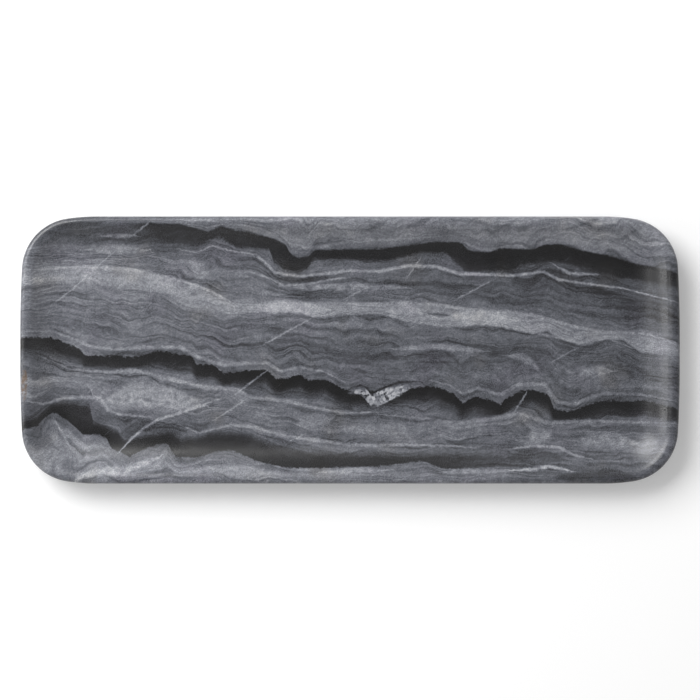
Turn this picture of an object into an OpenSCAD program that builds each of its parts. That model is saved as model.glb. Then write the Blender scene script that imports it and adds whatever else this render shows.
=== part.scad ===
// Dry-brewing tea tray: one slab of stone with a raised rim round a shallow well,
// standing on four round bumper pads.
// X runs along the tray, Y across it and Z up. The origin is under the tray's middle,
// on the surface that the pads stand on.

/* [Stone] */
// Length of the stone, over its slightly bowed ends
stone_l = 400; // [340:10:460]
// Width of the stone, over its long sides
stone_w = 162; // [152:2:190]
// Height of the rim's crest above the stone's underside
stone_h = 18; // [16:0.5:22]
// Radius of the four corners, seen from above
corner_r = 32; // [30:1:34]

/* [Rim] */
// Radius of the rim's outer top edge
lip_outer_r = 2.8; // [1.2:0.2:2.8]
// Radius of the rim's shoulder, from the crest into the well
lip_inner_r = 8; // [5:1:8]
// Length of the straight slope down from the shoulder to the cove
slope_len = 2.5; // [1:0.5:3]
// Radius of the long cove that runs out into the floor
cove_r = 32; // [26:1:33]
// Radius of the edge round the underside
base_r = 2.5; // [1:0.5:2.5]

/* [Bumper pads] */
// Diameter of each pad
pad_d = 12; // [8:1:18]
// Height of each pad, and of the stone above the table
pad_h = 2; // [1.5:0.5:4]
// Radius of the edge round each pad's underside
pad_edge_r = 0.6; // [0.2:0.2:1]
// Distance from the tray's ends in to the pads' centres
pad_from_end = 42; // [30:2:80]
// Distance from the tray's sides in to the pads' centres
pad_from_side = 30; // [20:2:50]

/* [Hidden] */
$fn = 180;

stone_color = "#5f6167";
pad_color = "#29292b";
margin = 1;

// The rim's section is measured from the outline inward, so its X is never positive.
// The slope between shoulder and cove is the hypotenuse of a 3-4-5 triangle.
slope_sin = 0.6;
slope_cos = 0.8;
slope_top = [-lip_outer_r - lip_inner_r * slope_sin, stone_h - lip_inner_r * (1 - slope_cos)];
slope_foot = slope_top - slope_len * [slope_cos, slope_sin];
floor_t = slope_foot.y - cove_r * (1 - slope_cos);
rim_band = cove_r * slope_sin - slope_foot.x;

// Seen from above, a quarter of the outline is a straight side, an easing arc, the corner,
// a second easing arc and a short straight in the middle of the end, all tangent.
// Neighbouring arcs have their centres apart by the legs of a right triangle with whole or
// half sides, run, (run^2 - 1) / 2 and (run^2 + 1) / 2, so that every centre is an exact
// decimal and the stretches meet without a gap. Each easing arc falls 1 away from straight.
ease_fall = 1;
side_run = 13;
side_leg = (side_run * side_run - 1) / 2;
side_r = corner_r + side_leg + ease_fall;
end_run = 40;
end_leg = (end_run * end_run - 1) / 2;
end_r = corner_r + end_leg + ease_fall;
corner_c = [stone_l / 2 - corner_r - ease_fall, stone_w / 2 - corner_r - ease_fall];
side_c = corner_c - [side_run, side_leg];
end_c = corner_c - [end_leg, end_run];

// Section through the rim, with the floor carried in as far as inner
module rim_section(inner) {
    difference() {
        translate([-rim_band, 0]) square([rim_band + slope_foot.x, slope_foot.y]);
        translate([-rim_band, floor_t + cove_r]) circle(cove_r);
    }
    polygon([slope_foot, slope_top, [slope_top.x, 0], [slope_foot.x, 0]]);
    intersection() {
        translate([-lip_outer_r, stone_h - lip_inner_r]) circle(lip_inner_r);
        translate(slope_top) square([-lip_outer_r - slope_top.x, stone_h - slope_top.y]);
    }
    translate([slope_top.x, 0]) square([-slope_top.x - base_r, slope_top.y]);
    translate([-lip_outer_r, stone_h - lip_outer_r]) circle(lip_outer_r);
    translate([-base_r, base_r]) square([base_r, stone_h - lip_outer_r - base_r]);
    translate([-base_r, base_r]) circle(base_r);
    translate([-inner, 0]) square([inner - rim_band, floor_t]);
}

// A stretch of the tray that turns about a centre, cut from a full turn of the section
// by the wedge between two directions, each longer than the outline's radius
module arc_stretch(centre, r, inner, from, to) {
    translate([centre.x, centre.y, 0]) intersection() {
        rotate_extrude() translate([r, 0]) rim_section(inner);
        translate([0, 0, -margin]) linear_extrude(stone_h + 2 * margin)
            polygon([[0, 0], from, from + to, to]);
    }
}

// The two easing arcs and the corner of the quarter on +X and +Y
module curved_quarter() {
    along_side = 2 * [side_run, side_leg];
    along_end = 2 * [end_leg, end_run];
    arc_stretch(side_c, side_r, side_r, [0, along_side.y], along_side);
    arc_stretch(corner_c, corner_r, corner_r, along_side, along_end);
    arc_stretch(end_c, end_r, stone_l / 4, along_end, [along_end.x, 0]);
}

// Straight stretch of the +Y side, with half of the floor
module side_stretch() {
    translate([-side_c.x, stone_w / 2, 0]) rotate([90, 0, 90])
        linear_extrude(2 * side_c.x) rim_section(stone_w / 2);
}

// Straight stretch in the middle of the +X end
module end_stretch() {
    translate([stone_l / 2, end_c.y, 0]) rotate([90, 0, 0])
        linear_extrude(2 * end_c.y) rim_section(stone_l / 4);
}

module stone_tray() {
    color(stone_color) translate([0, 0, pad_h]) {
        for (flip_x = [0, 1], flip_y = [0, 1])
            mirror([flip_x, 0, 0]) mirror([0, flip_y, 0]) curved_quarter();
        for (flip_y = [0, 1]) mirror([0, flip_y, 0]) side_stretch();
        for (flip_x = [0, 1]) mirror([flip_x, 0, 0]) end_stretch();
    }
}

// One pad, with its flat top against the stone; right and rear are 1 or -1
module bumper_pad(right, rear) {
    x = right * (stone_l / 2 - pad_from_end);
    y = rear * (stone_w / 2 - pad_from_side);
    color(pad_color) translate([x, y, 0]) rotate_extrude() {
        square([pad_d / 2 - pad_edge_r, pad_h]);
        translate([0, pad_edge_r]) square([pad_d / 2, pad_h - pad_edge_r]);
        translate([pad_d / 2 - pad_edge_r, pad_edge_r]) circle(pad_edge_r);
    }
}

module pad_front_left() { bumper_pad(-1, -1); }
module pad_front_right() { bumper_pad(1, -1); }
module pad_rear_left() { bumper_pad(-1, 1); }
module pad_rear_right() { bumper_pad(1, 1); }

stone_tray();
pad_front_left();
pad_front_right();
pad_rear_left();
pad_rear_right();
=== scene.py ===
import math

import bpy
import numpy as np
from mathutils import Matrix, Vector


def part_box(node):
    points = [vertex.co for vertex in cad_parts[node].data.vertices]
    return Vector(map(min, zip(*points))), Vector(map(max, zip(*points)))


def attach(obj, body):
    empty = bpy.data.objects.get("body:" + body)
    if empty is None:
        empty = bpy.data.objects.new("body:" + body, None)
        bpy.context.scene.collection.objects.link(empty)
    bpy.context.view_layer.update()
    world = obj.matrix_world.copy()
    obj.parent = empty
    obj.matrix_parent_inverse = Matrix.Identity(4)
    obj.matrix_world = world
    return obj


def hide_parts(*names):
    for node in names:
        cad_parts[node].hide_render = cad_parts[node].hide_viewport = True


# A dry-brewing tea tray of banded grey marble, seen from straight above. The tray is worked out in
# millimetres, and the studio in metres. The stone's layers are drawn as points of the photo, which
# to_mm turns into millimetres about the tray's middle.

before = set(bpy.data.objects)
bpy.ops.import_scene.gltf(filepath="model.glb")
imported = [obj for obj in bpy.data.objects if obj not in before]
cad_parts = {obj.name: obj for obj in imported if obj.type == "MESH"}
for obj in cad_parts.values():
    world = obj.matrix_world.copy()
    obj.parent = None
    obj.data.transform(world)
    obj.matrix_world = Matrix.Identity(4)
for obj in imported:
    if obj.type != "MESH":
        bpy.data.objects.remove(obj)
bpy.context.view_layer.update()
MM = 0.001

# The photo: its side in pixels, the real size of a pixel, and the pixel at the tray's middle.
PHOTO_SIDE = 700
MM_PER_PIXEL = 0.6064
PHOTO_CENTRE = (349.9, 349.7)

# The tray's form, as in the CAD. The inner slope falls 3 for every 4 inwards.
low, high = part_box("stone_tray")
HALF_LENGTH = high.x / MM
HALF_WIDTH = high.y / MM
STONE_TOP = high.z / MM
STONE_UNDER = low.z / MM
LIP_R = 2.8
SHOULDER_R = 8.0
SLOPE_MM = 2.5
SLOPE_SIN, SLOPE_COS = 0.6, 0.8
COVE_R = 32.0
BASE_R = 2.5
CORNER_R = 32.0
# Easing arcs of a side and an end: how far their centres lie from the corner's, and their radius.
SIDE_RUN, SIDE_LEG, SIDE_R = 13.0, 84.0, 117.0
END_RUN, END_LEG, END_R = 40.0, 799.5, 832.5

# Segments in each stretch of a quarter of the outline, from the middle of the rear side.
STRAIGHT_STEPS, EASE_STEPS, CORNER_STEPS, END_STEPS, FLAT_STEPS = 100, 12, 24, 32, 6
# Segments in each stretch of the rim's section, from the floor to the underside.
COVE_STEPS, SHOULDER_STEPS, LIP_STEPS, WALL_STEPS, BASE_STEPS = 10, 6, 6, 5, 3
# Segments along and across the sheets that close the floor and the underside.
COLUMNS = 2 * (STRAIGHT_STEPS + EASE_STEPS) + CORNER_STEPS
ROWS = 2 * (END_STEPS + FLAT_STEPS) + CORNER_STEPS
UV_GAP_MM = 3.0          # between the pieces of the unrolled map, and round them


def arc_points(centre, radius, start, stop, steps):
    """Points and outward normals along an arc, angles in radians, without the last one."""
    angles = start + (stop - start) * np.arange(steps) / steps
    normals = np.stack([np.cos(angles), np.sin(angles)], 1)
    return np.array(centre) + radius * normals, normals


def quarter_outline():
    """The outline from the middle of the rear side to the middle of the right end, both included."""
    corner = np.array([HALF_LENGTH - (END_R - END_LEG), HALF_WIDTH - (SIDE_R - SIDE_LEG)])
    side_centre = corner - [SIDE_RUN, SIDE_LEG]
    end_centre = corner - [END_LEG, END_RUN]
    side_angle = math.atan2(SIDE_LEG, SIDE_RUN)
    end_angle = math.atan2(END_RUN, END_LEG)
    straight = np.stack([side_centre[0] * np.arange(STRAIGHT_STEPS) / STRAIGHT_STEPS,
                         np.full(STRAIGHT_STEPS, HALF_WIDTH)], 1)
    flat = np.stack([np.full(FLAT_STEPS + 1, HALF_LENGTH),
                     end_centre[1] * (1 - np.arange(FLAT_STEPS + 1) / FLAT_STEPS)], 1)
    stretches = [
        (straight, np.tile([0.0, 1.0], (STRAIGHT_STEPS, 1))),
        arc_points(side_centre, SIDE_R, math.pi / 2, side_angle, EASE_STEPS),
        arc_points(corner, CORNER_R, side_angle, end_angle, CORNER_STEPS),
        arc_points(end_centre, END_R, end_angle, 0.0, END_STEPS),
        (flat, np.tile([1.0, 0.0], (FLAT_STEPS + 1, 1))),
    ]
    return np.concatenate([s[0] for s in stretches]), np.concatenate([s[1] for s in stretches])


def whole_outline():
    """The closed outline, clockwise from the middle of the rear left corner."""
    points, normals = quarter_outline()
    loops = []
    for values in (points, normals):
        turns = [values, values[::-1] * [1, -1], values * [-1, -1], values[::-1] * [-1, 1]]
        loops.append(np.concatenate([t[:-1] for t in turns]))
    quarter = len(points) - 1
    start = 3 * quarter + FLAT_STEPS + END_STEPS + CORNER_STEPS // 2
    return np.roll(loops[0], -start, axis=0), np.roll(loops[1], -start, axis=0)


def rim_profile():
    """Rows of (inset, height, unrolled distance past the crest), from the floor to the underside."""
    rows = []
    slope_angle = math.asin(SLOPE_SIN)
    quarter_turn = math.pi / 2
    cove_centre = LIP_R + SHOULDER_R * SLOPE_SIN + SLOPE_MM * SLOPE_COS + COVE_R * SLOPE_SIN
    floor_z = (STONE_TOP - SHOULDER_R * (1 - SLOPE_COS) - SLOPE_MM * SLOPE_SIN
               - COVE_R * (1 - SLOPE_COS))
    for a in np.linspace(0, slope_angle, COVE_STEPS + 1):
        rows.append((cove_centre - COVE_R * math.sin(a), floor_z + COVE_R * (1 - math.cos(a)), 0))
    for a in np.linspace(slope_angle, 0, SHOULDER_STEPS + 1):
        rows.append((LIP_R + SHOULDER_R * math.sin(a), STONE_TOP - SHOULDER_R * (1 - math.cos(a)), 0))
    for a in np.linspace(0, quarter_turn, LIP_STEPS + 1)[1:]:
        rows.append((LIP_R * (1 - math.sin(a)), STONE_TOP - LIP_R * (1 - math.cos(a)), LIP_R * a))
    wall_top = STONE_TOP - LIP_R
    wall_foot = STONE_UNDER + BASE_R
    past = LIP_R * quarter_turn
    for share in np.linspace(0, 1, WALL_STEPS + 1)[1:]:
        down = (wall_top - wall_foot) * share
        rows.append((0, wall_top - down, past + down))
    past += wall_top - wall_foot
    for a in np.linspace(0, quarter_turn, BASE_STEPS + 1)[1:]:
        rows.append((BASE_R * (1 - math.cos(a)), wall_foot - BASE_R * math.sin(a), past + BASE_R * a))
    return np.array(rows)


# The stone's layers, as points of the photo. Each horizon is the line between two layers, from the
# left end to the right end.
HORIZONS = {
    "rear_edge": [(20, 217), (680, 217)],
    "dark_rear_top": [
        (20, 221), (140, 222), (180, 223), (208, 231), (221, 225), (234, 229), (249, 231), (258, 234),
        (275, 238), (286, 244), (290, 253), (299, 257), (308, 255), (314, 249), (345, 248), (378, 248),
        (410, 244), (432, 241), (460, 241), (470, 250), (491, 251), (499, 247), (533, 248), (544, 244),
        (558, 243), (585, 250), (613, 255), (636, 263), (659, 267), (680, 273)],
    "dark_rear_foot": [
        (20, 245), (180, 245), (196, 247), (211, 240), (220, 238), (227, 242), (236, 248), (269, 250),
        (274, 264), (283, 271), (297, 273), (307, 269), (313, 259), (345, 259), (388, 261), (406, 257),
        (421, 253), (446, 254), (459, 266), (465, 272), (515, 271), (521, 265), (556, 262), (579, 267),
        (597, 272), (619, 278), (636, 280), (680, 289)],
    "under_rear_line": [
        (20, 250), (180, 249), (196, 252), (212, 245), (229, 250), (256, 254), (263, 259), (274, 272),
        (283, 276), (299, 276), (321, 272), (350, 270), (378, 271), (410, 265), (437, 266), (459, 273),
        (515, 275), (544, 271), (559, 279), (579, 282), (625, 288), (659, 297), (680, 303)],
    "pale_top": [
        (20, 268), (85, 266), (125, 268), (180, 280), (192, 282), (208, 289), (223, 296), (233, 303),
        (288, 301), (345, 302), (412, 302), (443, 305), (484, 311), (510, 311), (539, 316), (579, 327),
        (602, 331), (648, 333), (680, 344)],
    "pale_foot": [
        (20, 286), (91, 282), (107, 287), (134, 290), (167, 293), (180, 304), (205, 311), (229, 314),
        (288, 312), (313, 318), (350, 315), (378, 313), (406, 321), (437, 326), (464, 326), (486, 324),
        (515, 329), (533, 333), (548, 332), (562, 339), (579, 344), (608, 339), (625, 340), (642, 353),
        (680, 356)],
    "dark_middle_top": [
        (20, 337), (50, 337), (71, 345), (80, 349), (84, 355), (113, 355), (130, 357), (145, 354),
        (157, 350), (180, 354), (191, 355), (196, 364), (212, 364), (223, 373), (249, 370), (266, 369),
        (275, 378), (284, 378), (300, 374), (308, 380), (326, 379), (340, 387), (350, 391), (390, 390),
        (425, 386), (437, 386), (454, 393), (463, 403), (475, 396), (492, 400), (501, 405), (505, 399),
        (519, 391), (533, 389), (549, 394), (555, 409), (572, 411), (590, 404), (604, 400), (629, 401),
        (645, 400), (680, 409)],
    "under_middle_line": [
        (20, 352), (42, 357), (69, 369), (107, 372), (134, 370), (180, 381), (202, 387), (236, 389),
        (249, 397), (288, 401), (310, 407), (343, 413), (378, 414), (430, 419), (459, 423), (497, 418),
        (519, 413), (550, 423), (590, 421), (636, 422), (680, 424)],
    "dark_front_top": [
        (20, 419), (37, 415), (51, 402), (71, 401), (89, 404), (92, 420), (107, 425), (118, 431),
        (123, 438), (151, 433), (172, 432), (180, 438), (196, 436), (212, 431), (245, 432), (262, 440),
        (278, 445), (316, 452), (350, 453), (410, 454), (443, 452), (560, 457), (680, 460)],
    "dark_front_foot": [
        (20, 430), (36, 427), (43, 419), (53, 412), (67, 421), (82, 435), (98, 435), (106, 439),
        (110, 448), (129, 457), (148, 447), (166, 443), (175, 457), (196, 458), (218, 451), (232, 451),
        (258, 462), (288, 468), (321, 468), (383, 466), (423, 461), (443, 469), (475, 468), (497, 466),
        (600, 472), (680, 471)],
    "front_edge": [(20, 483), (680, 483)],
}
# How light each layer is at the left end, in the middle and at the right end.
LAYER_TONES = [
    (0.11, 0.27, 0.29),      # rear margin
    (0.26, 0.10, 0.06),      # in place of the dark rear band
    (0.19, 0.12, 0.08),      # under the rear band
    (0.22, 0.12, 0.08),      # upper slate
    (0.21, 0.17, 0.14),      # pale band
    (0.18, 0.11, 0.08),      # middle layers
    (0.14, 0.13, 0.11),      # in place of the dark middle band
    (0.22, 0.16, 0.15),      # lower slate
    (0.09, 0.09, 0.15),      # in place of the dark front band
    (0.24, 0.22, 0.10),      # front margin
]
# The painted bands, each between two horizons. For the top and the foot edge: the softness in mm,
# and how strongly the rough noise shifts it. The band is gone at fade_mm below its top. One of its
# edges may be the darkest, and its strength is given at some photo x.
BANDS = [
    {"top": "dark_rear_top", "foot": "dark_rear_foot", "soft_mm": (1.6, 3.2), "jagged": (0.7, 1.2),
     "tone": 0.006, "fade_mm": 30.0, "darkest": "top",
     "strength": [(20, 0.45), (120, 0.4), (165, 0.85), (640, 1.0), (680, 0.8)]},
    {"top": "pale_top", "foot": "pale_foot", "soft_mm": (1.4, 2.4), "jagged": (0.9, 1.2),
     "tone": 0.31, "fade_mm": 60.0, "darkest": None,
     "strength": [(20, 0.7), (160, 0.5), (235, 0.9), (330, 0.8), (430, 0.6), (500, 0.8), (560, 0.55),
                  (680, 0.5)]},
    {"top": "dark_middle_top", "foot": "under_middle_line", "soft_mm": (0.9, 5.0), "jagged": (1.5, 1.2),
     "tone": 0.006, "fade_mm": 15.0, "darkest": "top",
     "strength": [(20, 0.9), (300, 1.0), (560, 0.95), (680, 0.85)]},
    {"top": "dark_front_top", "foot": "dark_front_foot", "soft_mm": (5.5, 1.1), "jagged": (1.0, 1.0),
     "tone": 0.009, "fade_mm": 60.0, "darkest": "foot",
     "strength": [(20, 0.9), (110, 1.0), (330, 0.95), (440, 0.85), (500, 0.5), (545, 0.15),
                  (680, 0.05)]},
]
# Strokes: photo points along the middle, width in pixels, then lighter (+) or darker (-) strength.
STROKES = [
    # thin light lines that follow the layers
    ([(180, 249), (196, 252), (212, 245), (229, 250), (256, 254), (264, 261), (274, 272), (299, 276),
      (350, 270), (378, 271), (410, 265), (437, 266), (459, 273), (515, 275), (544, 271), (559, 279),
      (579, 282), (625, 288), (659, 297), (677, 302)], 2.4, 0.55),
    ([(249, 271), (272, 279), (283, 285), (305, 284), (330, 279), (350, 277)], 2.0, 0.5),
    ([(26, 270), (85, 266), (125, 268), (180, 280), (208, 289), (233, 303)], 2.4, 0.5),
    ([(345, 303), (412, 302), (443, 305), (484, 311), (510, 311), (539, 316), (579, 327), (602, 331),
      (648, 333), (678, 343)], 2.6, 0.35),
    ([(350, 314), (378, 312), (406, 320), (448, 326), (486, 323), (515, 328), (562, 338), (579, 343),
      (608, 338), (640, 350)], 2.2, 0.3),
    ([(191, 217), (234, 224), (262, 229), (284, 237), (292, 248), (310, 247), (345, 242), (410, 238),
      (455, 235)], 2.0, 0.25),
    ([(42, 357), (69, 369), (107, 372), (134, 370), (180, 381), (202, 387), (236, 389), (249, 397),
      (288, 401), (310, 407), (343, 413), (378, 412)], 3.0, 0.4),
    ([(378, 414), (430, 419), (459, 423), (497, 418), (519, 413), (550, 423), (590, 421), (636, 422),
      (679, 423)], 3.0, 0.3),
    ([(28, 401), (43, 404), (62, 398), (82, 397), (100, 398), (107, 410), (118, 414),
      (150, 417)], 2.6, 0.5),
    ([(180, 425), (198, 433), (229, 425), (254, 427), (283, 436), (321, 441), (350, 445), (410, 445),
      (453, 446), (476, 448)], 2.6, 0.4),
    ([(22, 331), (50, 331), (74, 339), (89, 346), (113, 349), (145, 347), (180, 347), (196, 356),
      (223, 365), (249, 363), (266, 362), (280, 371), (300, 367), (326, 372), (344, 382)], 3.0, 0.4),
    ([(430, 380), (450, 385), (463, 394), (478, 388), (500, 395), (519, 384), (545, 384), (558, 402),
      (575, 404), (604, 393), (640, 394), (677, 401)], 3.0, 0.3),
    ([(394, 349), (430, 346), (460, 348), (484, 351)], 5.0, 0.35),
    ([(510, 356), (521, 356), (531, 362), (538, 369)], 6.0, 0.3),
    ([(554, 264), (571, 273), (600, 274)], 2.2, 0.4),
    ([(510, 449), (533, 446), (559, 447), (574, 455), (592, 459)], 2.4, 0.5),
    # streaks of the front margin
    ([(76, 479), (91, 473), (107, 470), (123, 471), (138, 465), (158, 457)], 6.0, 0.75),
    ([(510, 470), (533, 469), (549, 466), (573, 471)], 2.6, 0.85),
    ([(319, 472), (350, 470), (387, 470)], 4.0, 0.45),
    ([(439, 472), (462, 471), (491, 471), (516, 470)], 3.4, 0.4),
    ([(180, 470), (240, 468), (300, 476)], 5.0, 0.25),
    # pale lenses
    ([(247, 308), (280, 306), (328, 309)], 9.0, 0.55),
    ([(449, 317), (480, 316), (516, 319)], 11.0, 0.45),
    ([(388, 311), (404, 308), (422, 313)], 8.0, 0.4),
    ([(294, 287), (350, 286), (406, 287)], 5.0, 0.35),
    ([(109, 399), (134, 394), (160, 398), (200, 405)], 20.0, 0.45),
    ([(581, 374), (598, 370), (612, 371)], 8.0, 0.3),
    ([(580, 441), (608, 440), (637, 443)], 11.0, 0.3),
    ([(529, 436), (550, 435)], 11.0, 0.35),
    ([(300, 424), (333, 416)], 12.0, 0.25),
    ([(89, 249), (118, 249), (146, 250)], 6.0, 0.45),
    ([(100, 236), (136, 235)], 3.0, 0.45),
    ([(345, 428), (420, 432), (500, 430)], 16.0, 0.15),
    ([(470, 374), (560, 374), (660, 386)], 20.0, 0.13),
    ([(24, 277), (90, 274), (150, 281), (185, 293)], 13.0, 0.22),
    # white healed fractures that cross the layers
    ([(115, 250), (92, 269), (70, 290), (54, 302)], 1.4, 0.6),
    ([(150, 222), (139, 230), (129, 237)], 1.4, 0.5),
    ([(118, 453), (129, 440), (143, 428), (156, 420), (185, 411), (221, 398)], 2.2, 0.75),
    ([(313, 317), (285, 332), (260, 346)], 1.4, 0.5),
    ([(345, 298), (367, 287)], 1.4, 0.5),
    ([(406, 279), (421, 257)], 1.4, 0.45),
    ([(453, 301), (492, 280)], 1.4, 0.45),
    ([(267, 370), (247, 385), (232, 396)], 1.4, 0.5),
    ([(247, 398), (228, 411), (212, 421)], 1.4, 0.5),
    ([(528, 391), (513, 415)], 1.4, 0.45),
    ([(552, 362), (579, 347)], 1.4, 0.4),
    ([(290, 441), (303, 435)], 1.4, 0.5),
    ([(52, 417), (61, 433), (70, 449)], 1.6, 0.4),
    # dark streaks and lenses
    ([(104, 237), (124, 240)], 2.6, -0.6),
    ([(275, 278), (300, 280), (327, 278)], 5.0, -0.5),
    ([(283, 296), (316, 296), (351, 295)], 9.0, -0.35),
    ([(275, 316), (292, 315), (311, 317)], 4.0, -0.5),
    ([(427, 313), (449, 315)], 2.0, -0.6),
    ([(415, 354), (436, 353), (454, 355)], 6.0, -0.35),
    ([(421, 362), (454, 362)], 2.4, -0.55),
    ([(351, 359), (370, 360), (389, 358)], 7.0, -0.35),
    ([(351, 368), (368, 373)], 3.0, -0.55),
    ([(123, 432), (140, 427), (157, 424)], 9.0, -0.45),
    ([(150, 431), (186, 430)], 8.0, -0.4),
    ([(510, 458), (535, 453), (565, 460)], 9.0, -0.55),
    ([(583, 451), (614, 453)], 2.2, -0.6),
    ([(555, 477), (604, 476), (637, 478)], 9.0, -0.65),
    ([(168, 455), (167, 470), (166, 480)], 9.0, -0.3),
    ([(29, 432), (40, 440), (52, 446)], 14.0, -0.35),
    ([(600, 300), (640, 306), (677, 318)], 14.0, -0.3),
    # the rear margin's faint slanting streaks
    ([(365, 231), (388, 220)], 4.0, -0.45),
    ([(405, 228), (430, 219)], 4.0, -0.4),
    ([(500, 228), (515, 221)], 4.0, -0.35),
    ([(570, 228), (600, 218)], 4.0, -0.4),
    ([(610, 243), (640, 228)], 4.0, -0.3),
    ([(34, 232), (90, 226), (150, 223)], 12.0, -0.25),
    # the thin dark line round the crystal pocket
    ([(345, 393), (352, 387), (362, 385), (368, 389), (372, 394), (381, 389), (399, 382), (420, 381),
      (426, 386)], 2.4, -0.9),
]
# The pocket of white crystals lies between two lines of the photo, and is brightest at one point.
POCKET_TOP = [(345, 394), (355, 389), (366, 388), (371, 394), (384, 388), (405, 383), (422, 387)]
POCKET_FOOT = [(345, 394), (361, 395), (370, 406), (378, 407), (397, 398), (412, 388), (422, 387)]
POCKET_BRIGHTEST = (380, 395)
POCKET_HOLLOW_MM = 0.25
POCKET_EDGE_MM = 2.5     # from the pocket's outline to where its hollow is at full depth
# The rusty, pitted patch on the left rim: its middle in the photo, and how far it spreads.
RUST_CENTRE = (24.5, 382)
RUST_SPREAD_MM = (2.2, 12.5)

LAYER_DIP = 0.8          # how far the layers shift sideways for each millimetre of depth
THINNEST_LAYER_MM = 0.8
STROKE_HALF = 0.72       # painted half width for a width of 1, which makes up for the soft edges
STROKE_ENDS = (0.02, 0.98)    # shares of its length beyond which a stroke gets no thinner
STROKE_MARGIN_MM = 2.4   # how far beyond its edge a stroke is still known
FAR_MM = 60.0            # stands for the distance to a stroke where none is near


def to_mm(points):
    """Photo pixels to millimetres about the tray's middle."""
    p = np.array(points, float)
    return np.stack([(p[..., 0] - PHOTO_CENTRE[0]) * MM_PER_PIXEL,
                     (PHOTO_CENTRE[1] - p[..., 1]) * MM_PER_PIXEL], -1)


def line_height(points, x):
    """The height y in mm of a left-to-right line at each x."""
    line = to_mm(points)
    return np.interp(x, line[:, 0], line[:, 1])


def stroke_field(points, where):
    """Signed distance to a polyline in mm, and how far along it the nearest point is, 0 to 1."""
    line = to_mm(points)
    steps = np.diff(line, axis=0)
    lengths = np.hypot(*steps.T)
    starts = np.concatenate([[0], np.cumsum(lengths)])
    best = np.full(len(where), np.inf)
    side = np.ones(len(where))
    along = np.zeros(len(where))
    for a, step, length, start in zip(line, steps, lengths, starts):
        rel = where - a
        t = np.clip(rel @ step / length ** 2, 0, 1)
        gap = rel - t[:, None] * step
        dist = np.hypot(*gap.T)
        nearer = dist < best
        best = np.where(nearer, dist, best)
        turn = step[0] * rel[:, 1] - step[1] * rel[:, 0]
        side = np.where(nearer, np.where(turn >= 0, 1.0, -1.0), side)
        along = np.where(nearer, (start + t * length) / starts[-1], along)
    return best * side, along


def gaps_between(top, foot, where):
    """How far each point lies below one line and above another, in mm."""
    x, y = where.T
    return line_height(top, x) - y, y - line_height(foot, x)


def layer_fields(where):
    """For each point: depth in the stack of layers in mm, and the layer's tone."""
    heights = np.array([line_height(h, where[:, 0]) for h in HORIZONS.values()])
    for i in range(1, len(heights)):
        heights[i] = np.minimum(heights[i], heights[i - 1] - THINNEST_LAYER_MM)
    stack = np.zeros(len(where))
    for top, thickness in zip(heights, -np.diff(heights, axis=0)):
        stack += np.clip((top - where[:, 1]) / thickness, 0, 1) * thickness.mean()
    stack += np.minimum(heights[0] - where[:, 1], 0) + np.maximum(heights[-1] - where[:, 1], 0)

    across = (where[:, 0] + HALF_LENGTH) / (2 * HALF_LENGTH)
    tones = np.array([np.interp(across, [0, 0.5, 1], t) for t in LAYER_TONES])
    middles = (heights[:-1] + heights[1:]) / 2
    tone = [np.interp(-y, -m, t) for y, m, t in zip(where[:, 1], middles.T, tones.T)]
    return stack, np.array(tone)


def stroke_layers(where):
    """The strokes sorted into layers whose strokes stay clear of each other, as (N, 3) arrays."""
    layers = []
    for points, width, strength in STROKES:
        signed, along = stroke_field(points, where)
        half = STROKE_HALF * width * MM_PER_PIXEL
        taper = np.sqrt(np.clip(np.sin(np.pi * np.clip(along, *STROKE_ENDS)), 0, 1))
        near = np.abs(signed) < half + STROKE_MARGIN_MM
        for layer in layers:
            if not (layer["near"] & near).any():
                break
        else:
            layer = {"near": np.zeros(len(where), bool), "best": np.full(len(where), np.inf),
                     "field": np.full((len(where), 3), FAR_MM)}
            layers.append(layer)
        closer = np.abs(signed) < layer["best"]
        layer["best"] = np.where(closer, np.abs(signed), layer["best"])
        layer["near"] |= near
        values = np.stack([signed, half * taper, np.where(near, strength, 0.0)], 1)
        layer["field"] = np.where(closer[:, None], values, layer["field"])
    return [layer["field"] for layer in layers]


def painted_fields(where, depth):
    """What the material paints from, at each vertex: its place, its layer, bands and pocket."""
    x = where[:, 0]
    fields = {
        "stone_place": np.column_stack([where, depth]),
        "layer_place": np.column_stack([x, *layer_fields(where)]),
    }
    for number, band in enumerate(BANDS):
        strength = np.interp(x / MM_PER_PIXEL + PHOTO_CENTRE[0], *np.array(band["strength"]).T)
        gaps = gaps_between(HORIZONS[band["top"]], HORIZONS[band["foot"]], where)
        fields[f"band_{number}"] = np.column_stack([*gaps, strength])
    fields["pocket"] = np.column_stack([*gaps_between(POCKET_TOP, POCKET_FOOT, where), depth])
    return fields


def sheet_grid(ring, first_inner):
    """Vertex numbers of the sheet inside a ring: the ring's own on the border, new ones inside."""
    around = 2 * (COLUMNS + ROWS)
    border = ring * around + np.append(np.arange(around), 0)
    grid = np.zeros((COLUMNS + 1, ROWS + 1), int)
    grid[:, ROWS] = border[:COLUMNS + 1]
    grid[COLUMNS, ::-1] = border[COLUMNS:COLUMNS + ROWS + 1]
    grid[::-1, 0] = border[COLUMNS + ROWS:2 * COLUMNS + ROWS + 1]
    grid[0] = border[2 * COLUMNS + ROWS:]
    inner = grid[1:-1, 1:-1]
    inner[:] = first_inner + np.arange(inner.size).reshape(inner.shape)
    return grid


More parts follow.
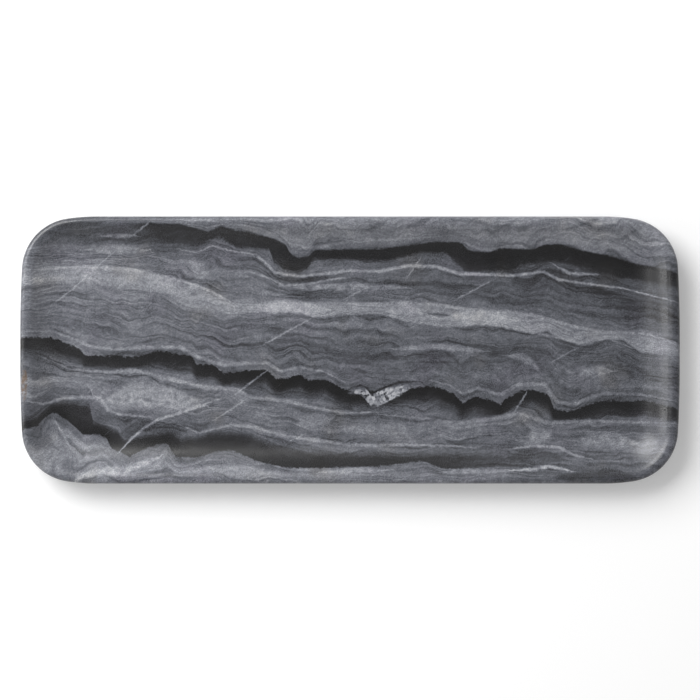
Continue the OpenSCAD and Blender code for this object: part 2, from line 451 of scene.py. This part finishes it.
def sheet_points(ring_xy, grid):
    """A sheet's inner points, each blended from the four sides of its border."""
    border = ring_xy[grid % len(ring_xy)]
    u = np.concatenate([[0], np.cumsum(np.hypot(*np.diff(border[:, -1], axis=0).T))])
    v = np.concatenate([[0], np.cumsum(np.hypot(*np.diff(border[0], axis=0).T))])
    u, v = (u / u[-1])[:, None, None], (v / v[-1])[None, :, None]
    filled = ((1 - v) * border[:, :1] + v * border[:, -1:] + (1 - u) * border[:1] + u * border[-1:]
              - (1 - u) * (1 - v) * border[0, 0] - u * (1 - v) * border[-1, 0]
              - (1 - u) * v * border[0, -1] - u * v * border[-1, -1])
    return filled[1:-1, 1:-1].reshape(-1, 2)


def grid_faces(grid, turned):
    """The four-sided faces of a grid of vertex numbers, turned over where asked."""
    a, b, c, d = grid[:-1, :-1], grid[1:, :-1], grid[1:, 1:], grid[:-1, 1:]
    order = (a, d, c, b) if turned else (a, b, c, d)
    return np.stack([o.ravel() for o in order], 1)


def unroll(mesh, faces, laid_flat, xy, past_crest):
    """The map OFBake: the upper side with the wall laid outwards, and the underside beside it."""
    side = 2 * (HALF_LENGTH - LIP_R + past_crest) + 2 * UV_GAP_MM
    half_height = HALF_WIDTH - LIP_R + past_crest
    upper_uv = (laid_flat + [side / 2, half_height + UV_GAP_MM]) / side
    under_uv = (xy + [side / 2, 2 * half_height + 3 * UV_GAP_MM + HALF_WIDTH]) / side
    corners = faces.ravel()
    is_under = np.arange(len(corners)) >= len(corners) - 4 * COLUMNS * ROWS
    uv = np.where(is_under[:, None], under_uv[corners], upper_uv[corners])
    mesh.uv_layers.new(name="OFBake").data.foreach_set("uv", uv.ravel())


def build_stone():
    """The stone as one closed mesh, and how many layers of strokes it carries."""
    outline, normals = whole_outline()
    inset, height, past = rim_profile().T
    rings, around = len(height), len(outline)
    ring_xy = outline - inset[:, None, None] * normals
    ring_z = np.repeat(height, around)
    wall_laid_out = outline - LIP_R * normals + past[:, None, None] * normals
    unrolled = np.where(past[:, None, None] > 0, wall_laid_out, ring_xy)

    floor_grid = sheet_grid(0, rings * around)
    floor_xy = sheet_points(ring_xy[0], floor_grid)
    under_grid = sheet_grid(rings - 1, rings * around + len(floor_xy))
    under_xy = sheet_points(ring_xy[-1], under_grid)
    xy = np.concatenate([ring_xy.reshape(-1, 2), floor_xy, under_xy])
    laid_flat = np.concatenate([unrolled.reshape(-1, 2), floor_xy, under_xy])
    z = np.concatenate([ring_z, np.full(len(floor_xy), height[0]), np.full(len(under_xy), height[-1])])
    depth = np.concatenate([np.where(np.repeat(past > 0, around), STONE_TOP - ring_z, 0),
                            np.zeros(len(floor_xy)), np.full(len(under_xy), STONE_TOP - STONE_UNDER)])

    # The crystal pocket is a shallow hollow in the floor.
    into_pocket = np.minimum(*gaps_between(POCKET_TOP, POCKET_FOOT, xy)) / POCKET_EDGE_MM
    z -= POCKET_HOLLOW_MM * np.clip(into_pocket, 0, 1) * np.isclose(z, height[0])

    ring_grid = np.arange(rings * around).reshape(rings, around)
    ring_grid = np.hstack([ring_grid, ring_grid[:, :1]])
    faces = np.concatenate([grid_faces(ring_grid, True), grid_faces(floor_grid, False),
                            grid_faces(under_grid, True)])
    mesh = bpy.data.meshes.new("marble_tray")
    mesh.from_pydata((np.column_stack([xy, z]) * MM).tolist(), [], faces.tolist())
    mesh.polygons.foreach_set("use_smooth", np.ones(len(faces), bool))
    unroll(mesh, faces, laid_flat, xy, past[-1])

    where = xy + np.column_stack([np.zeros(len(xy)), LAYER_DIP * depth])
    fields = painted_fields(where, depth)
    strokes = stroke_layers(where)
    fields.update({f"strokes_{number}": field for number, field in enumerate(strokes)})
    for name, values in fields.items():
        attribute = mesh.attributes.new(name, "FLOAT_VECTOR", "POINT")
        attribute.data.foreach_set("vector", values.astype(np.float32).ravel())
    mesh.update()
    tray = bpy.data.objects.new("marble_tray", mesh)
    bpy.context.scene.collection.objects.link(tray)
    return tray, len(strokes)


class Graph:
    """The nodes of a material or world. Their inputs are sockets, plain numbers or colours."""

    def __init__(self, owner):
        owner.use_nodes = True
        self.owner = owner
        self.tree = owner.node_tree
        self.tree.nodes.clear()

    def add(self, kind, inputs=(), **settings):
        node = self.tree.nodes.new(kind)
        for key, value in settings.items():
            setattr(node, key, value)
        for key, value in dict(inputs).items():
            if isinstance(value, bpy.types.NodeSocket):
                self.tree.links.new(value, node.inputs[key])
            else:
                node.inputs[key].default_value = value
        return node

    def surface(self, inputs):
        """Gives the material a principled shader with these inputs, and returns the material."""
        shader = self.add("ShaderNodeBsdfPrincipled", inputs)
        self.add("ShaderNodeOutputMaterial", {"Surface": shader.outputs[0]})
        return self.owner

    def math(self, operation, *values, clamp=False):
        inputs = dict(enumerate(values))
        return self.add("ShaderNodeMath", inputs, operation=operation, use_clamp=clamp).outputs[0]

    def plus(self, value, *others):
        for other in others:
            value = self.math("ADD", value, other)
        return value

    def minus(self, value, other):
        return self.math("SUBTRACT", value, other)

    def times(self, value, *others):
        for other in others:
            value = self.math("MULTIPLY", value, other)
        return value

    def attribute(self, name):
        return self.add("ShaderNodeAttribute", attribute_name=name).outputs["Vector"]

    def split(self, vector):
        return self.add("ShaderNodeSeparateXYZ", {0: vector}).outputs

    def join(self, x, y, z):
        return self.add("ShaderNodeCombineXYZ", {0: x, 1: y, 2: z}).outputs[0]

    def noise(self, vector, scale, detail, roughness, distortion):
        inputs = {"Vector": vector, "Scale": scale, "Detail": detail, "Roughness": roughness,
                  "Distortion": distortion}
        return self.add("ShaderNodeTexNoise", inputs).outputs["Fac"]

    def voronoi(self, vector, scale):
        return self.add("ShaderNodeTexVoronoi", {"Vector": vector, "Scale": scale}).outputs

    def remap(self, value, from_low, from_high, to_low=0.0, to_high=1.0, smooth=True):
        inputs = {"Value": value, "From Min": from_low, "From Max": from_high,
                  "To Min": to_low, "To Max": to_high}
        kind = "SMOOTHSTEP" if smooth else "LINEAR"
        return self.add("ShaderNodeMapRange", inputs, interpolation_type=kind).outputs[0]

    def blend(self, a, b, factor):
        return self.add("ShaderNodeMix", {0: factor, 2: a, 3: b}, data_type="FLOAT").outputs[0]

    def blend_colour(self, a, b, factor, kind="MIX"):
        inputs = {0: factor, 6: a, 7: b}
        return self.add("ShaderNodeMix", inputs, data_type="RGBA", blend_type=kind).outputs[2]

    def ramp(self, value, stops):
        node = self.add("ShaderNodeValToRGB", {0: value})
        elements = node.color_ramp.elements
        while len(elements) < len(stops):
            elements.new(0.5)
        for element, (position, colour) in zip(elements, stops):
            element.position = position
            element.color = (*colour, 1.0)
        return node.outputs[0]

    def bump(self, height, strength, distance):
        inputs = {"Strength": strength, "Distance": distance, "Height": height}
        return self.add("ShaderNodeBump", inputs).outputs[0]


# How a layer's tone turns into the stone's colour, from black to bluish white.
STONE_COLOURS = [
    (0.00, (0.007, 0.007, 0.007)),
    (0.03, (0.028, 0.028, 0.031)),
    (0.08, (0.074, 0.078, 0.090)),
    (0.16, (0.151, 0.157, 0.180)),
    (0.28, (0.270, 0.279, 0.304)),
    (0.50, (0.490, 0.495, 0.520)),
    (0.90, (0.870, 0.870, 0.880)),
]
LIGHTEST_TONE = 0.9
SEEN_TO_ALBEDO = 0.74    # tones are as the photo shows them, and the gloss adds the rest

# Noises taken at a place in the stone: cells per mm, detail, roughness, distortion.
NOISES = {
    "jagged": (0.42, 5.0, 0.65, 0.0),
    "small": (1.1, 3.0, 0.6, 0.0),
    "rolling": (0.07, 3.0, 0.55, 0.0),
    "folds": (0.028, 2.0, 0.5, 0.8),
    "patches": (0.22, 4.0, 0.62, 0.0),
    "clouds": (0.045, 3.0, 0.6, 0.4),
    "grain": (1.7, 2.0, 0.7, 0.0),
    "crystal_gaps": (0.35, 4.0, 0.7, 0.0),
    "hue": (0.03, 2.0, 0.55, 0.0),
    "rust": (0.9, 4.0, 0.7, 0.0),
    "pits": (1.3, 3.0, 0.7, 0.0),
}
NOISE_MIDDLE = 0.5
# How many mm wide these noises swing a line or a layer about its place.
SWINGS_MM = {"jagged": 3.4, "small": 1.6, "rolling": 5.0, "folds": 14.0}
ROLLING_STACK = 1.2      # how strongly the rolling noise bends the fine layers
# Noises drawn out along the layers: cells per mm along and across them, detail, roughness and
# distortion. The broad ones change with depth, and the others are taken at one slice of the noise.
LAYERED_NOISES = {
    "broad": (0.013, 0.24, 4.0, 0.6, 1.3),
    "fine": (0.030, 0.95, 4.0, 0.65, 0.2),
    "hair": (0.05, 2.6, 3.0, 0.6, 0.15),
}
BROAD_PER_DEPTH_MM = 0.03
NOISE_SLICES = {"fine": 4.0, "hair": 9.0}
# Scratches all slant one way: cells per mm along and across them for x and y, then the noise.
SCRATCH_ALONG, SCRATCH_ACROSS = (0.060, 0.050), (0.78, 0.95)
SCRATCH_NOISE = (1.0, 3.0, 0.6, 0.0)
CRYSTALS_PER_MM, FACETS_PER_MM = 1.15, 0.62

# A row of four numbers gives a pattern's low and high value, and what each turns into. A row of two
# turns into 0 and 1. These are what each pattern multiplies the tone by.
TONE_FACTORS = {
    "broad": (0.30, 0.70, 0.42, 1.70),
    "fine": (0.30, 0.70, 0.87, 1.13),
    "hair": (0.30, 0.70, 0.97, 1.03),
    "clouds": (0.30, 0.70, 0.84, 1.16),
    "patches": (0.28, 0.72, 0.80, 1.20),
    "grain": (0.25, 0.75, 0.42, 1.58),
    "crystals": (0.00, 1.00, 0.80, 1.20),
    "scratches": (0.30, 0.70, 0.88, 1.12),
}
# Bands: where an edge starts and ends in its softness, what share of fade_mm stays at full strength,
# how the broad layers thin the band, how the fine ones vary it, and how it lightens from its darkest
# edge inwards, in mm.
EDGE_START, EDGE_END = -0.35, 0.65
FULL_SHARE = 0.3
BAND_THINNING = (0.26, 0.42, 0.88, 1.0)
BAND_VARIATION = (0.35, 0.75, 0.75, 1.7)
FROM_DARKEST_EDGE = (1.0, 11.0, 0.6, 2.8)
# Strokes: their two tones, how strongly the rough noise shifts them, how soft their edges are in mm
# and for their half width, and where they thin out.
LIGHT_TONE, DARK_TONE = 0.56, 0.014
STROKE_SHIFT = 0.65
STROKE_SOFT_MM, STROKE_SOFT_SHARE, STROKE_SOFT_OUTSIDE = 0.35, 0.5, 0.6
STROKE_THINNING = (0.30, 0.60, 0.55, 1.0)
# Bright flecks at the middle of a few crystals, and healed hairlines among the scratches.
FLECK_SIZE, FLECK_RARITY, FLECK_LIGHT = (0.30, 0.12), (0.90, 0.97), 0.05
HAIRLINES, HAIRLINE_LIGHT = (0.64, 0.76), 0.07
# The crystal pocket: its edge, the gaps between its crystals, the depth in mm below which it ends,
# the tones of the crystals' faces, and how they dim away from the brightest point, in mm.
POCKET_SHIFT, POCKET_SOFT_MM = 0.9, 1.2
POCKET_GAPS = (0.34, 0.50)
POCKET_DEPTHS = (6.0, 2.0)
FACET_TONES = (0.0, 1.0, 0.10, 0.70)
POCKET_DIMMING = (4.0, 24.0, 1.0, 0.45)
# Where the hue noise drifts, and to what tint: lilac, and a little brown.
HUE_DRIFTS = [((0.50, 0.75), (1.02, 0.99, 1.02, 1.0)), ((0.45, 0.28), (1.03, 1.0, 0.95, 1.0))]
RUST_SHIFT, RUST_EDGE, RUST_GAPS, RUST_COVER = 0.22, (1.1, 0.6), (0.36, 0.56), 0.85
RUST_COLOURS = [(0.30, (0.040, 0.025, 0.016)), (0.55, (0.135, 0.085, 0.050)),
                (0.80, (0.260, 0.190, 0.130))]
# The honed satin finish: duller on light stone and on rust, and worn smoother in patches.
TONE_ROUGHNESS = (0.02, 0.40, 0.27, 0.40)
CLOUD_ROUGHNESS = (0.30, 0.70, -0.03, 0.04)
GRAIN_ROUGHNESS = (0.25, 0.75, -0.03, 0.03)
RUST_ROUGHNESS = 0.30
RELIEF = {"grain": 0.35, "fine": 0.45, "patches": 0.5}
FACET_RELIEF = -2.4
STONE_BUMP, STONE_BUMP_DISTANCE = 0.30, 0.00012
STONE_IOR = 1.50


def stone_patterns(g):
    """The places and noises that the marble is painted from, by name."""
    place = g.attribute("stone_place")
    x, y, depth = g.split(place)
    layer_x, stack, tone = g.split(g.attribute("layer_place"))
    stone = {name: g.noise(place, *settings) for name, settings in NOISES.items()}
    swing = {name: g.times(g.minus(stone[name], NOISE_MIDDLE), width)
             for name, width in SWINGS_MM.items()}
    bent_stack = g.plus(stack, swing["folds"], g.times(swing["rolling"], ROLLING_STACK))
    for name, (along, across, *settings) in LAYERED_NOISES.items():
        third = NOISE_SLICES.get(name) or g.times(depth, BROAD_PER_DEPTH_MM)
        layered_place = g.join(g.times(layer_x, along), g.times(bent_stack, across), third)
        stone[name] = g.noise(layered_place, 1.0, *settings)
    scratch_along = g.plus(g.times(x, SCRATCH_ALONG[0]), g.times(y, SCRATCH_ALONG[1]))
    scratch_across = g.minus(g.times(y, SCRATCH_ACROSS[1]), g.times(x, SCRATCH_ACROSS[0]))
    crystals = g.voronoi(place, CRYSTALS_PER_MM)
    stone.update({
        "place": place, "x": x, "y": y, "tone": tone,
        "rolling": swing["rolling"],
        "edge_shift": g.plus(swing["jagged"], swing["small"]),
        "scratches": g.noise(g.join(scratch_along, scratch_across, depth), *SCRATCH_NOISE),
        "crystals": g.split(crystals["Color"])[0],
        "crystal_middle": crystals["Distance"],
    })
    return stone


def vary(g, stone, tone, *names):
    """The tone times what each of the named patterns gives."""
    for name in names:
        tone = g.times(tone, g.remap(stone[name], *TONE_FACTORS[name], smooth=False))
    return tone


def paint_bands(g, stone, tone):
    """The wide dark and pale bands between their horizons."""
    fine_low, fine_high, least, most = BAND_VARIATION
    thinning = g.remap(stone["broad"], *BAND_THINNING)
    for number, band in enumerate(BANDS):
        below, above, strength = g.split(g.attribute(f"band_{number}"))
        edges = [g.remap(g.plus(distance, g.times(stone["edge_shift"], jagged)),
                         EDGE_START * soft, EDGE_END * soft)
                 for distance, soft, jagged in zip((below, above), band["soft_mm"], band["jagged"])]
        fading = g.remap(g.plus(below, stone["rolling"]), band["fade_mm"], FULL_SHARE * band["fade_mm"])
        mask = g.times(*edges, strength, fading, thinning)
        within = g.remap(stone["fine"], fine_low, fine_high, least * band["tone"],
                         most * band["tone"], smooth=False)
        if band["darkest"]:
            inwards = below if band["darkest"] == "top" else above
            within = g.times(within, g.remap(inwards, *FROM_DARKEST_EDGE, smooth=False))
        tone = g.blend(tone, within, mask)
    return tone


def paint_strokes(g, stone, tone, stroke_count):
    """Light and dark lines, lenses and healed fractures."""
    shift = g.times(stone["edge_shift"], STROKE_SHIFT)
    thinning = g.remap(stone["patches"], *STROKE_THINNING)
    for number in range(stroke_count):
        distance, half, strength = g.split(g.attribute(f"strokes_{number}"))
        soft = g.plus(g.times(half, STROKE_SOFT_SHARE), STROKE_SOFT_MM)
        outside = g.plus(half, g.times(soft, STROKE_SOFT_OUTSIDE))
        mask = g.remap(g.math("ABSOLUTE", g.plus(distance, shift)), outside, g.minus(half, soft))
        mask = g.times(mask, thinning)
        tone = g.blend(tone, LIGHT_TONE, g.math("MULTIPLY", mask, strength, clamp=True))
        tone = g.blend(tone, DARK_TONE, g.math("MULTIPLY", mask, g.times(strength, -1.0), clamp=True))
    return tone


def add_grain(g, stone, tone):
    """Clouds, grain, the single crystals of the marble, and scratches."""
    tone = vary(g, stone, tone, "clouds", "patches", "grain", "crystals")
    flecks = g.remap(stone["crystal_middle"], *FLECK_SIZE)
    rare = g.remap(stone["crystals"], *FLECK_RARITY)
    tone = g.plus(tone, g.times(flecks, rare, FLECK_LIGHT))
    tone = vary(g, stone, tone, "scratches")
    return g.plus(tone, g.times(g.remap(stone["scratches"], *HAIRLINES), HAIRLINE_LIGHT))


def paint_pocket(g, stone, tone):
    """The tone with the pocket of white crystals in it, and the relief of the crystals' faces."""
    below, above, depth = g.split(g.attribute("pocket"))
    shift = g.times(stone["edge_shift"], POCKET_SHIFT)
    pocket = g.times(g.remap(g.plus(below, shift), 0.0, POCKET_SOFT_MM),
                     g.remap(g.plus(above, shift), 0.0, POCKET_SOFT_MM),
                     g.remap(stone["crystal_gaps"], *POCKET_GAPS), g.remap(depth, *POCKET_DEPTHS))
    facets = g.voronoi(stone["place"], FACETS_PER_MM)
    facet_tone = g.remap(g.split(facets["Color"])[1], *FACET_TONES, smooth=False)
    from_brightest = g.math("ABSOLUTE", g.minus(stone["x"], float(to_mm(POCKET_BRIGHTEST)[0])))
    facet_tone = g.times(facet_tone, g.remap(from_brightest, *POCKET_DIMMING))
    return g.blend(tone, facet_tone, pocket), g.times(facets["Distance"], pocket)


def paint_rust(g, stone, colour):
    """The colour with the rusty patch in it, and how rusty each place is."""
    squares = [g.math("POWER", g.math("DIVIDE", g.minus(stone[axis], float(centre)), spread), 2.0)
               for axis, centre, spread in zip("xy", to_mm(RUST_CENTRE), RUST_SPREAD_MM)]
    edge = g.plus(g.math("SQRT", g.plus(*squares)), g.times(stone["edge_shift"], RUST_SHIFT))
    rust = g.times(g.remap(edge, *RUST_EDGE), g.remap(stone["patches"], *RUST_GAPS))
    rusty = g.ramp(stone["rust"], RUST_COLOURS)
    return g.blend_colour(colour, rusty, g.times(rust, RUST_COVER)), rust


def marble(stroke_count):
    g = Graph(bpy.data.materials.new("banded_marble"))
    stone = stone_patterns(g)
    tone = vary(g, stone, stone["tone"], "broad", "fine", "hair")
    tone = paint_bands(g, stone, tone)
    tone = paint_strokes(g, stone, tone, stroke_count)
    tone = add_grain(g, stone, tone)
    tone, facet_relief = paint_pocket(g, stone, tone)
    tone = g.times(tone, SEEN_TO_ALBEDO)

    colour = g.ramp(g.math("MINIMUM", tone, LIGHTEST_TONE), STONE_COLOURS)
    for drift, tint in HUE_DRIFTS:
        colour = g.blend_colour(colour, tint, g.remap(stone["hue"], *drift), "MULTIPLY")
    colour, rust = paint_rust(g, stone, colour)

    rough = g.plus(g.remap(tone, *TONE_ROUGHNESS, smooth=False),
                   g.remap(stone["clouds"], *CLOUD_ROUGHNESS, smooth=False),
                   g.remap(stone["grain"], *GRAIN_ROUGHNESS, smooth=False))
    rough = g.math("ADD", rough, g.times(rust, RUST_ROUGHNESS), clamp=True)
    height = g.plus(*(g.times(stone[name], share) for name, share in RELIEF.items()),
                    g.times(facet_relief, FACET_RELIEF))
    height = g.minus(height, g.times(rust, stone["pits"]))
    return g.surface({"Base Color": colour, "Roughness": rough, "IOR": STONE_IOR,
                      "Normal": g.bump(height, STONE_BUMP, STONE_BUMP_DISTANCE)})


# The pads' black rubber. Its noises are given as the stone's are, but in cells per metre.
RUBBER_CLOUDS = (260.0, 4.0, 0.6, 0.0)
RUBBER_FINE = (1900.0, 2.0, 0.6, 0.0)
RUBBER_DUST = (620.0, 3.0, 0.55, 0.0)
RUBBER_COLOURS = [(0.30, (0.017, 0.017, 0.018)), (0.70, (0.030, 0.030, 0.031))]
RUBBER_ROUGHNESS = (0.30, 0.70, 0.52, 0.70)
RUBBER_BUMP, RUBBER_BUMP_DISTANCE = 0.4, 0.00008
DUST_EDGE, DUST_COLOUR, DUST_COVER = (0.58, 0.72), (0.085, 0.083, 0.080, 1.0), 0.35


def rubber():
    g = Graph(bpy.data.materials.new("pad_rubber"))
    place = g.add("ShaderNodeTexCoord").outputs["Object"]
    clouds = g.noise(place, *RUBBER_CLOUDS)
    dust = g.remap(g.noise(place, *RUBBER_DUST), *DUST_EDGE)
    colour = g.blend_colour(g.ramp(clouds, RUBBER_COLOURS), DUST_COLOUR, g.times(dust, DUST_COVER))
    bump = g.bump(g.noise(place, *RUBBER_FINE), RUBBER_BUMP, RUBBER_BUMP_DISTANCE)
    return g.surface({"Base Color": colour, "Normal": bump,
                      "Roughness": g.remap(clouds, *RUBBER_ROUGHNESS, smooth=False)})


# The studio, in metres and watts.
FLOOR_SIDE = 8.0
FLOOR_ALBEDO = 0.82
FLOOR_LIFT = 0.22        # only for the camera: brings the lit floor to plain white
WORLD_SIDES, WORLD_ABOVE = 0.66, 0.18
WORLD_TURN = (0.5, 1.0)  # the height of a direction at which the world goes from sides to above
WHITE = 1.0
KEY_PLACE, KEY_SIDE, KEY_POWER = (-0.96, 0.92, 1.30), 1.30, 38.0
KEY_GLOSS = 0.20         # how much of the key light shows as gloss
STRIP_PLACE, STRIP_SIZE, STRIP_POWER = (-1.50, -0.06, 0.76), (0.75, 0.10), 3.6
CAMERA_HEIGHT = 2.0
SENSOR_MM = 36.0


def build_floor():
    """A white floor, which the camera sees lifted to plain white outside the shadow."""
    mesh = bpy.data.meshes.new("studio_floor")
    half = FLOOR_SIDE / 2
    mesh.from_pydata([(-half, -half, 0), (half, -half, 0), (half, half, 0), (-half, half, 0)], [],
                     [(0, 1, 2, 3)])
    floor = bpy.data.objects.new("studio_floor", mesh)
    bpy.context.scene.collection.objects.link(floor)
    g = Graph(bpy.data.materials.new("studio_white"))
    camera_ray = g.add("ShaderNodeLightPath").outputs["Is Camera Ray"]
    mesh.materials.append(g.surface({
        "Base Color": (FLOOR_ALBEDO, FLOOR_ALBEDO, FLOOR_ALBEDO, 1.0), "Roughness": 1.0,
        "Specular IOR Level": 0.0, "Emission Color": (1.0, 1.0, 1.0, 1.0),
        "Emission Strength": g.times(camera_ray, FLOOR_LIFT)}))


def build_world():
    """A soft surround, dimmer overhead, which the camera sees as plain white."""
    world = bpy.data.worlds.new("studio")
    bpy.context.scene.world = world
    g = Graph(world)
    upwards = g.split(g.add("ShaderNodeTexCoord").outputs["Generated"])["Z"]
    level = g.remap(upwards, *WORLD_TURN, WORLD_SIDES, WORLD_ABOVE, smooth=False)
    camera_ray = g.add("ShaderNodeLightPath").outputs["Is Camera Ray"]
    background = g.add("ShaderNodeBackground", {"Strength": g.blend(level, WHITE, camera_ray)})
    g.add("ShaderNodeOutputWorld", {"Surface": background.outputs[0]})


def add_light(name, place, size, power, gloss=1.0):
    """A rectangular area light that faces the tray's middle."""
    data = bpy.data.lights.new(name, "AREA")
    data.shape = "RECTANGLE"
    data.size, data.size_y = size
    data.energy = power
    data.specular_factor = gloss
    light = bpy.data.objects.new(name, data)
    light.location = place
    light.rotation_euler = (-Vector(place)).to_track_quat("-Z", "Y").to_euler()
    bpy.context.scene.collection.objects.link(light)


def add_camera():
    """A camera straight above, whose view is the photo's width at the tray's outline."""
    data = bpy.data.cameras.new("camera")
    view_width = PHOTO_SIDE * MM_PER_PIXEL * MM
    distance = CAMERA_HEIGHT - (STONE_TOP - LIP_R) * MM
    data.sensor_width = SENSOR_MM
    data.lens = SENSOR_MM * distance / view_width
    camera = bpy.data.objects.new("camera", data)
    camera.location = (0, 0, CAMERA_HEIGHT)
    bpy.context.scene.collection.objects.link(camera)
    bpy.context.scene.camera = camera


tray, stroke_count = build_stone()
tray.data.materials.append(marble(stroke_count))
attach(tray, "root")
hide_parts("stone_tray")

pad_material = rubber()
for node in ("pad_front_left", "pad_front_right", "pad_rear_left", "pad_rear_right"):
    for material_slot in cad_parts[node].material_slots:
        material_slot.material = pad_material

build_floor()
build_world()
add_light("key", KEY_PLACE, (KEY_SIDE, KEY_SIDE), KEY_POWER, KEY_GLOSS)
add_light("strip", STRIP_PLACE, STRIP_SIZE, STRIP_POWER)
add_camera()
bpy.context.scene.view_settings.view_transform = "Standard"
